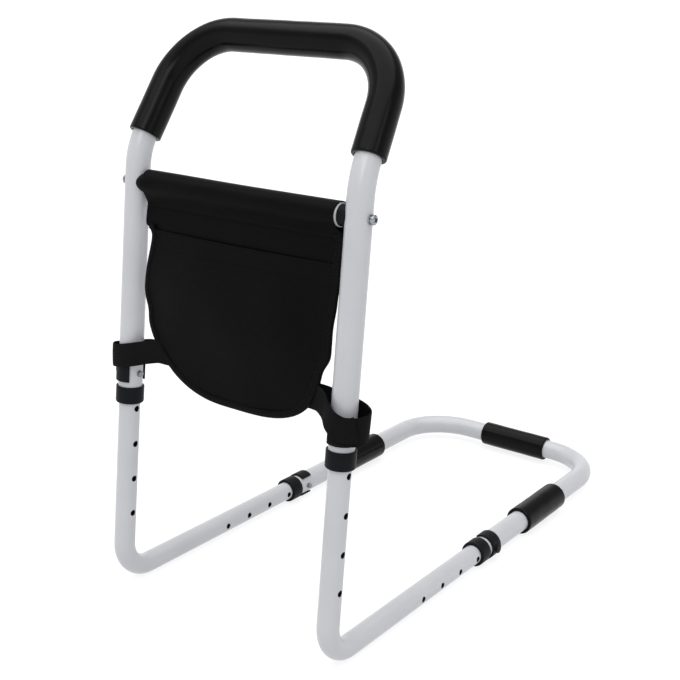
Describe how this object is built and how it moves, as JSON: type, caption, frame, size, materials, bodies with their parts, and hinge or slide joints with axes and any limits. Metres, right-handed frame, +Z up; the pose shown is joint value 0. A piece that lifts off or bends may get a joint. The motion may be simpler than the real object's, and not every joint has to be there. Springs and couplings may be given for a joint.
{
  "type": "bed assist bar",
  "caption": "Hooped hand bar with a foam grip on telescoping legs, with a padded base loop that goes under a mattress and a hanging cloth pouch.",
  "frame": {"origin": "on the floor, at the middle of the part's width and depth", "axes": "+X to the right along the hand bar, +Y back under the bed, +Z up"},
  "size_m": [0.3139, 0.6534, 0.5985],
  "materials": {
    "powder_coat": "smooth pale grey-white powder coat",
    "black_plastic": "satin moulded",
    "black_foam": "matt closed-cell foam",
    "black_weave": "coated plain weave",
    "zinc_steel": "bright zinc plate"
  },
  "bodies": {
    "legs": {"leg_left": "powder_coat", "leg_right": "powder_coat"},
    "hand_part": {"hand_bar": "powder_coat", "hand_grip": "black_foam", "cross_bar": "powder_coat", "cross_plug_left": "black_plastic", "cross_plug_right": "black_plastic", "cross_screw_left": "zinc_steel", "cross_screw_right": "zinc_steel", "cross_washer_left": "zinc_steel", "cross_washer_right": "zinc_steel", "upright_collar_left": "black_plastic", "upright_collar_right": "black_plastic", "pouch_panel": "black_weave", "pouch_pocket": "black_weave", "pouch_binding": "black_weave", "strap_left": "black_weave", "strap_right": "black_weave"},
    "base_part": {"base_loop": "powder_coat", "base_collar_left": "black_plastic", "base_collar_right": "black_plastic", "base_foam_left": "black_foam", "base_foam_right": "black_foam", "base_foam_back": "black_foam"},
    "upright_lock_left": {"upright_clip_left": "black_plastic", "upright_pin_left": "zinc_steel"},
    "upright_lock_right": {"upright_clip_right": "black_plastic", "upright_pin_right": "zinc_steel"},
    "base_lock_left": {"base_clip_left": "black_plastic", "base_pin_left": "zinc_steel"},
    "base_lock_right": {"base_clip_right": "black_plastic", "base_pin_right": "zinc_steel"}
  },
  "joints": [
    {"name": "hand_slide", "type": "slide", "parent": "legs", "child": "hand_part", "axis": [0, 0.0549, 0.9985], "range_m": [-0.154, 0.077]},
    {"name": "base_slide", "type": "slide", "parent": "legs", "child": "base_part", "axis": [0, 0.9999, 0.0148], "range_m": [-0.154, 0.077]},
    {"name": "upright_pin_pull_left", "type": "slide", "parent": "hand_part", "child": "upright_lock_left", "axis": [-1, 0, 0], "range_m": [0, 0.032], "deforming": ["upright_clip_left"]},
    {"name": "upright_pin_pull_right", "type": "slide", "parent": "hand_part", "child": "upright_lock_right", "axis": [1, 0, 0], "range_m": [0, 0.032], "deforming": ["upright_clip_right", "strap_right"]},
    {"name": "base_pin_pull_left", "type": "slide", "parent": "base_part", "child": "base_lock_left", "axis": [-1, 0, 0], "range_m": [0, 0.032], "deforming": ["base_clip_left"]},
    {"name": "base_pin_pull_right", "type": "slide", "parent": "base_part", "child": "base_lock_right", "axis": [1, 0, 0], "range_m": [0, 0.032], "deforming": ["base_clip_right"]}
  ]
}
